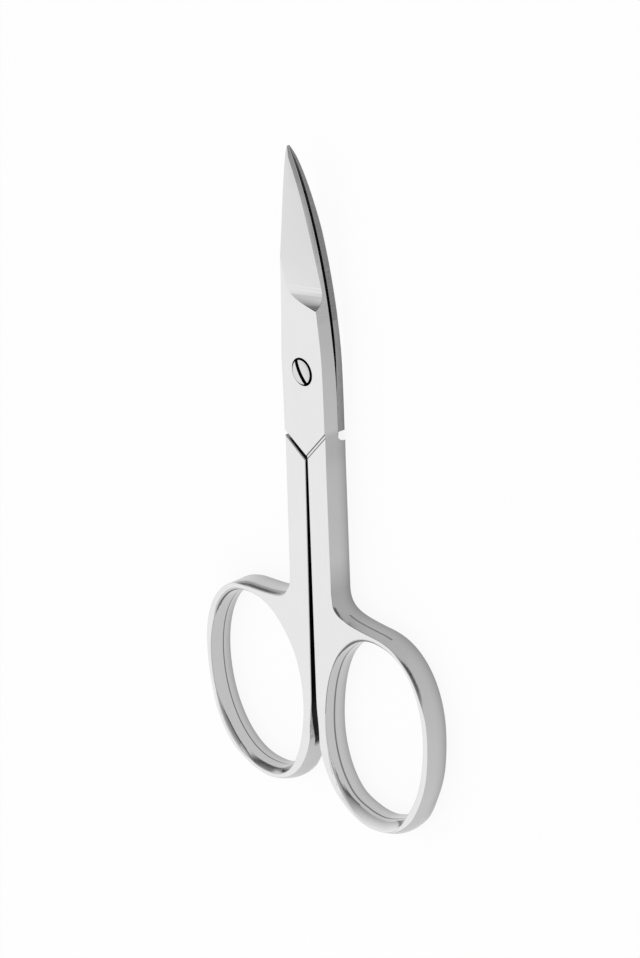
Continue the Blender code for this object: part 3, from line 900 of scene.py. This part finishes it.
def mapped(tree, value, edge, levels=(0, 1), way="LINEAR"):
    """A value that runs between two levels while another crosses an edge."""
    dials = dict(zip(("From Min", "From Max", "To Min", "To Max"), (*edge, *levels)))
    spread = new_node(tree, "ShaderNodeMapRange", dials, interpolation_type=way)
    wire(tree, value, spread.inputs["Value"])
    return spread.outputs["Result"]


def ramp(tree, value, stops, way="LINEAR"):
    """A grey that runs through stops of a value, from 0 to 1, and a level."""
    node = new_node(tree, "ShaderNodeValToRGB")
    node.color_ramp.interpolation = way
    wire(tree, value, node.inputs["Fac"])
    elements = node.color_ramp.elements
    elements[0].color, elements[1].color = grey(stops[0][1]), grey(stops[-1][1])
    for at, level in stops[1:-1]:
        elements.new(at).color = grey(level)
    return node.outputs["Color"]


def reach_along(tree, place, direction):
    """How far a place or direction reaches along another direction."""
    reach = new_node(tree, "ShaderNodeVectorMath", operation="DOT_PRODUCT")
    reach.inputs[1].default_value = direction
    wire(tree, place, reach.inputs[0])
    return reach.outputs["Value"]


def added(tree, first, second, **settings):
    """The sum of two values."""
    total = new_node(tree, "ShaderNodeMath", operation="ADD", **settings)
    wire(tree, first, total.inputs[0])
    wire(tree, second, total.inputs[1])
    return total.outputs[0]


def both_colours(tree, way, first, second):
    """Two colours multiplied, or the lighter of them."""
    mixed = new_node(tree, "ShaderNodeMix", data_type="RGBA", blend_type=way)
    mixed.inputs["Factor"].default_value = 1
    wire(tree, first, mixed.inputs["A"])
    wire(tree, second, mixed.inputs["B"])
    return mixed.outputs["Result"]


def shaded(tree, place, direction, stops):
    """A factor that changes smoothly in a direction, through stops of a place and a level."""
    start, end = stops[0][0], stops[-1][0]
    along = mapped(tree, reach_along(tree, place, direction), (start, end))
    return ramp(tree, along, [((at - start) / (end - start), level) for at, level in stops])


def wedge_of_shadow(tree, place):
    """Painted shadow deep in the seam, which narrows to a wedge where the rings part and ends below it."""
    wedge = shaded(tree, place, (0, -0.18, 1), ((0.0092, 0.03), (0.00936, 1)))
    below = shaded(tree, place, (0, 1, 0), ((-0.039, 1), (-0.038, 0)))
    return both_colours(tree, "LIGHTEN", wedge, below)


def make_noise_group(name, result, dials, edge):
    """A shared effect: noise on a vector, with its middle range spread from 0 to 1."""
    group = bpy.data.node_groups.new(name, "ShaderNodeTree")
    group.interface.new_socket("Vector", in_out="INPUT", socket_type="NodeSocketVector")
    group.interface.new_socket(result, in_out="OUTPUT", socket_type="NodeSocketFloat")
    given, put_out = group.nodes.new("NodeGroupInput"), group.nodes.new("NodeGroupOutput")
    noise = new_node(group, "ShaderNodeTexNoise", dials)
    wire(group, given.outputs["Vector"], noise.inputs["Vector"])
    wire(group, mapped(group, noise.outputs["Fac"], edge), put_out.inputs[result])


def make_grain_group():
    """Fine scratches that a wheel or belt leaves: thin streaks among finer ones."""
    dials = {"Scale": 1, "Detail": 5, "Roughness": 0.65}
    make_noise_group("grinding_grain", "Streaks", dials, (0.32, 0.68))


def make_handling_group():
    """Broad, faint unevenness of polish from handling."""
    make_noise_group("handling_marks", "Marks", {"Scale": 130, "Detail": 3}, (0.35, 0.65))


def effect(tree, name, vector):
    """One of the shared effects, placed in a material."""
    node = new_node(tree, "ShaderNodeGroup", node_tree=bpy.data.node_groups[name])
    wire(tree, vector, node.inputs["Vector"])
    return node.outputs[0]


def steel(name, tone, roughness, grain, along=(), painted_shade_upwards=(), seam_shadow=False):
    """A ground or polished steel: its tone and roughness vary with its grain and handling, and ramps along
    Y and Z and the seam's wedge darken its colour where a finish asks, most of them painted shade.
    """
    material = bpy.data.materials.new(name)
    material.use_nodes = True
    tree = material.node_tree
    shader = tree.nodes["Principled BSDF"]
    shader.inputs["Metallic"].default_value = 1
    place = new_node(tree, "ShaderNodeTexCoord").outputs["Object"]
    stretch = new_node(tree, "ShaderNodeMapping", {"Scale": grain.streaks})
    wire(tree, place, stretch.inputs["Vector"])
    streaks = effect(tree, "grinding_grain", stretch.outputs["Vector"])
    marks = effect(tree, "handling_marks", place)
    colour = new_node(tree, "ShaderNodeMix", data_type="RGBA")
    colour.inputs["A"].default_value = grey(tone * (1 - grain.contrast))
    colour.inputs["B"].default_value = grey(min(1, tone * (1 + grain.contrast)))
    wire(tree, streaks, colour.inputs["Factor"])
    result = colour.outputs["Result"]
    # Ramps that darken the colour: upwards they are painted shade, and the seam's wedge is a painted
    # shadow.
    shades = []
    for direction, stops in (((0, 1, 0), along), ((0, 0, 1), painted_shade_upwards)):
        if stops:
            shades.append(shaded(tree, place, direction, stops))
    if seam_shadow:
        shades.append(wedge_of_shadow(tree, place))
    for darkness in shades:
        result = both_colours(tree, "MULTIPLY", result, darkness)
    wire(tree, result, shader.inputs["Base Color"])
    levels = [roughness * share for share in ROUGHNESS_RANGE]
    wire(tree, mapped(tree, added(tree, streaks, marks), (0, 2), levels), shader.inputs["Roughness"])
    bump = new_node(tree, "ShaderNodeBump", {"Strength": 1, "Distance": grain.depth})
    wire(tree, streaks, bump.inputs["Height"])
    wire(tree, bump.outputs["Normal"], shader.inputs["Normal"])


def make_polished_face_steel():
    """Flat front and back faces, bright from the polishing wheel."""
    steel("polished_face_steel", tone=0.8, roughness=0.14, grain=FACE_GRAIN)


def make_outer_side_steels():
    """Upright outer sides of the shanks and rings, ground along their length, with painted shade towards
    their foot by the table and, on the front half, painted shade that varies along their length.
    """
    along = (
        (-0.047, 1), (-0.03, 0.98), (-0.02, 0.88), (-0.017, 0.76), (-0.014, 0.74),
        (-0.0095, 0.95), (-0.004, 0.93), (0.0028, 0.9), (0.0055, 0.83), (0.0078, 0.85),
        (0.0085, 1), (0.016, 0.92), (0.021, 0.87),
    )
    foot = ((0, 0.66), (0.0005, 0.82), (0.001, 0.93), (0.0017, 1))
    steel("front_side_painted_shade_steel", tone=0.535, roughness=0.22, grain=SIDE_GRAIN, along=along, painted_shade_upwards=foot)
    steel("back_side_painted_shade_steel", tone=0.54, roughness=0.22, grain=SIDE_GRAIN, painted_shade_upwards=foot)


def make_back_lap_side_steel():
    """The back lap's side, which is ground rougher than the shank's, is painted darker than it, with
    painted shade deepening towards its foot.
    """
    foot = ((0, 0.7), (0.001, 1))
    steel("back_lap_side_painted_shade_steel", tone=0.3, roughness=0.28, grain=LAP_SIDE_GRAIN, painted_shade_upwards=foot)


def make_front_seam_steel():
    """The front half's side across the seam, with painted shade between the shanks and towards its foot."""
    along = ((-0.034, 1), (-0.031, 0.8), (-0.028, 0.4), (-0.025, 0.2))
    foot = ((0, 0.5), (0.002, 0.9), (0.0035, 1))
    steel("front_seam_painted_shade_steel", tone=0.54, roughness=0.3, grain=SEAM_GRAIN, along=along, painted_shade_upwards=foot)


def make_back_seam_steel():
    """The back half's side across the seam: painted light round a painted shadow wedge, and its plain tone
    lower down.
    """
    along = ((-0.0372, 0.57), (-0.0364, 1))
    steel("back_seam_painted_light_and_shade_steel", tone=0.95, roughness=0.3, grain=SEAM_GRAIN, along=along, seam_shadow=True)


def make_spine_steels():
    """Upright sides of the blades, ground across; the back one is painted darker, painted shade."""
    steel("front_spine_steel", tone=0.45, roughness=0.28, grain=FRONT_SPINE_GRAIN)
    steel("back_spine_painted_shade_steel", tone=0.225, roughness=0.3, grain=BACK_SPINE_GRAIN)


def make_blade_face_steels():
    """Ground faces of the blades and of the scoops at their roots, with a fine grain across them."""
    steel("blade_face_steel", tone=0.79, roughness=0.16, grain=BLADE_GRAIN)
    steel("scoop_steel", tone=0.76, roughness=0.3, grain=BLADE_GRAIN)


def make_edge_bevel_steel():
    """Bevels of the cutting edges, ground across and left a little rough."""
    along = ((0.026, 0.9), (0.031, 0.96), (0.037, 1), (0.039, 0.9), (0.042, 0.74), (0.046, 0.66))
    steel("edge_bevel_steel", tone=0.51, roughness=0.26, grain=BEVEL_GRAIN, along=along)


def make_ring_inside_steel():
    """Polished walls of the finger holes, with painted shade towards their foot by the table."""
    foot = ((0, 0.68), (0.0006, 0.9), (0.0012, 1))
    steel("ring_inside_painted_shade_steel", tone=0.54, roughness=0.17, grain=RING_GRAIN, painted_shade_upwards=foot)


def make_crease_steel():
    """The crease that polishing left along the walls, painted dark: painted shade in the crease."""
    steel("crease_painted_shade_steel", tone=0.2, roughness=0.25, grain=CREASE_GRAIN)


def make_hole_rim_steels():
    """Rims of the finger holes, scooped at the bottom and rolled over at the top: the scooped rim is
    painted light, a painted highlight that fades deeper down, and the rolled rim is painted dark, a painted
    dark reflection.
    """
    painted_highlight_by_depth = ((0.0025, 0.45), (0.0035, 1))
    steel("scooped_rim_painted_light_steel", tone=0.9, roughness=0.25, grain=RING_GRAIN, painted_shade_upwards=painted_highlight_by_depth)
    steel("rolled_rim_painted_reflection_steel", tone=0.19, roughness=0.25, grain=CREASE_GRAIN)


def make_edge_steels():
    """Edges that the polishing wheel and wear have rounded and brightened, or rolled over; the rolled-over
    ones are painted darker, a painted dark reflection.
    """
    steel("softened_edge_steel", tone=0.6, roughness=0.16, grain=EDGE_GRAIN)
    steel("rolled_edge_painted_reflection_steel", tone=0.36, roughness=0.3, grain=ROLLED_EDGE_GRAIN)


def make_scribed_step_steel():
    """The fine steps along the notch, painted dark: painted shade in the steps."""
    steel("step_line_painted_shade_steel", tone=0.2, roughness=0.25, grain=EDGE_GRAIN)


def make_joint_face_steel():
    """Faces that rub at the joint, painted dark: painted shade in the gap between the blades."""
    steel("joint_face_painted_shade_steel", tone=0.34, roughness=0.3, grain=JOINT_GRAIN)


def make_seat_steel():
    """The screw's seat, rim and slot, painted near black: painted shade in the gap round the head and in
    the slot.
    """
    steel("seat_painted_shade_steel", tone=0.05, roughness=0.4, grain=SEAT_GRAIN)


def make_screw_head_steel():
    """The screw's head, turned and then polished."""
    steel("screw_head_steel", tone=0.72, roughness=0.16, grain=SCREW_GRAIN)


def make_finishes():
    """The two effects that the finishes share, and all the finishes."""
    make_grain_group()
    make_handling_group()
    make_polished_face_steel()
    make_outer_side_steels()
    make_back_lap_side_steel()
    make_front_seam_steel()
    make_back_seam_steel()
    make_spine_steels()
    make_blade_face_steels()
    make_edge_bevel_steel()
    make_ring_inside_steel()
    make_crease_steel()
    make_hole_rim_steels()
    make_edge_steels()
    make_scribed_step_steel()
    make_joint_face_steel()
    make_seat_steel()
    make_screw_head_steel()


# Studio

def make_white_table():
    """The table's white, which glows for the camera and in reflections and so stays even."""
    material = bpy.data.materials.new("white_table")
    material.use_nodes = True
    tree = material.node_tree
    shader = tree.nodes["Principled BSDF"]
    shader.inputs["Base Color"].default_value = grey(TABLE_TONE)
    shader.inputs["Roughness"].default_value = 1
    shader.inputs["Specular IOR Level"].default_value = 0
    shader.inputs["Emission Color"].default_value = grey(1)
    path = new_node(tree, "ShaderNodeLightPath").outputs
    seen = added(tree, path["Is Camera Ray"], path["Is Glossy Ray"])
    seen = added(tree, seen, path["Is Transmission Ray"], use_clamp=True)
    glow = new_node(tree, "ShaderNodeMath", operation="MULTIPLY")
    glow.inputs[1].default_value = TABLE_GLOW
    wire(tree, seen, glow.inputs[0])
    wire(tree, glow.outputs[0], shader.inputs["Emission Strength"])
    return material


def make_floor():
    """A white table that keeps the scissors' soft shadow."""
    put_all_down()
    bpy.ops.mesh.primitive_plane_add(size=TABLE_SIZE, location=(0, 0, -TABLE_BELOW))
    floor = bpy.context.object
    floor.name = "table"
    floor.data.materials.append(make_white_table())


def facing(tree, direction, towards):
    """How far the looked-at direction points towards a place in the studio, from -1 to 1."""
    return reach_along(tree, direction, Vector(towards).normalized())


def make_world():
    """A pale studio: a broad soft light over the left shoulder, and a low dark doorway beyond the tips."""
    world = bpy.data.worlds.new("studio")
    bpy.context.scene.world = world
    world.use_nodes = True
    tree = world.node_tree
    looked_at = new_node(tree, "ShaderNodeTexCoord").outputs["Generated"]
    key = ramp(tree, facing(tree, looked_at, KEY_TOWARDS), KEY_LEVELS, "B_SPLINE")
    by_door = facing(tree, looked_at, DOOR_TOWARDS)
    door = mapped(tree, by_door, DOOR_EDGE, (HORIZON_LEVEL, DOOR_LEVEL), "SMOOTHSTEP")
    low = mapped(tree, facing(tree, looked_at, (0, 0, 1)), HORIZON_EDGE, (1, 0), "SMOOTHSTEP")
    level = new_node(tree, "ShaderNodeMix", data_type="RGBA")
    wire(tree, low, level.inputs["Factor"])
    wire(tree, key, level.inputs["A"])
    wire(tree, door, level.inputs["B"])
    wire(tree, level.outputs["Result"], tree.nodes["Background"].inputs["Color"])


def make_camera():
    """The photograph's camera, fitted to the scissors' own sizes."""
    data = bpy.data.cameras.new("camera")
    data.lens = CAMERA_LENS
    data.sensor_width = CAMERA_SENSOR
    data.clip_start, data.clip_end = CAMERA_CLIP
    camera = bpy.data.objects.new("camera", data)
    bpy.context.scene.collection.objects.link(camera)
    right = Vector(CAMERA_RIGHT).normalized()
    back = Vector(CAMERA_BACK).normalized()
    up = back.cross(right).normalized()
    right = up.cross(back)
    turn = Matrix((right, up, back)).transposed().to_4x4()
    camera.matrix_world = Matrix.Translation(CAMERA_PLACE) @ turn
    bpy.context.scene.camera = camera


def main():
    """Make the finishes, dress each body with its piece, and set up the studio."""
    make_finishes()
    front_half = make_front_half()
    back_half = make_back_half()
    screw = make_screw()
    dressed = (
        (front_half, "front_body", "front_half", "front_half_steel"),
        (back_half, "back_body", "back_half", "back_half_steel"),
        (screw, "back_body", "pivot_screw", "screw_steel"),
    )
    for piece, body, node, slot in dressed:
        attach(piece, body)
        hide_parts(node)
    make_floor()
    make_world()
    make_camera()
    bpy.context.scene.view_settings.view_transform = "Standard"


main()
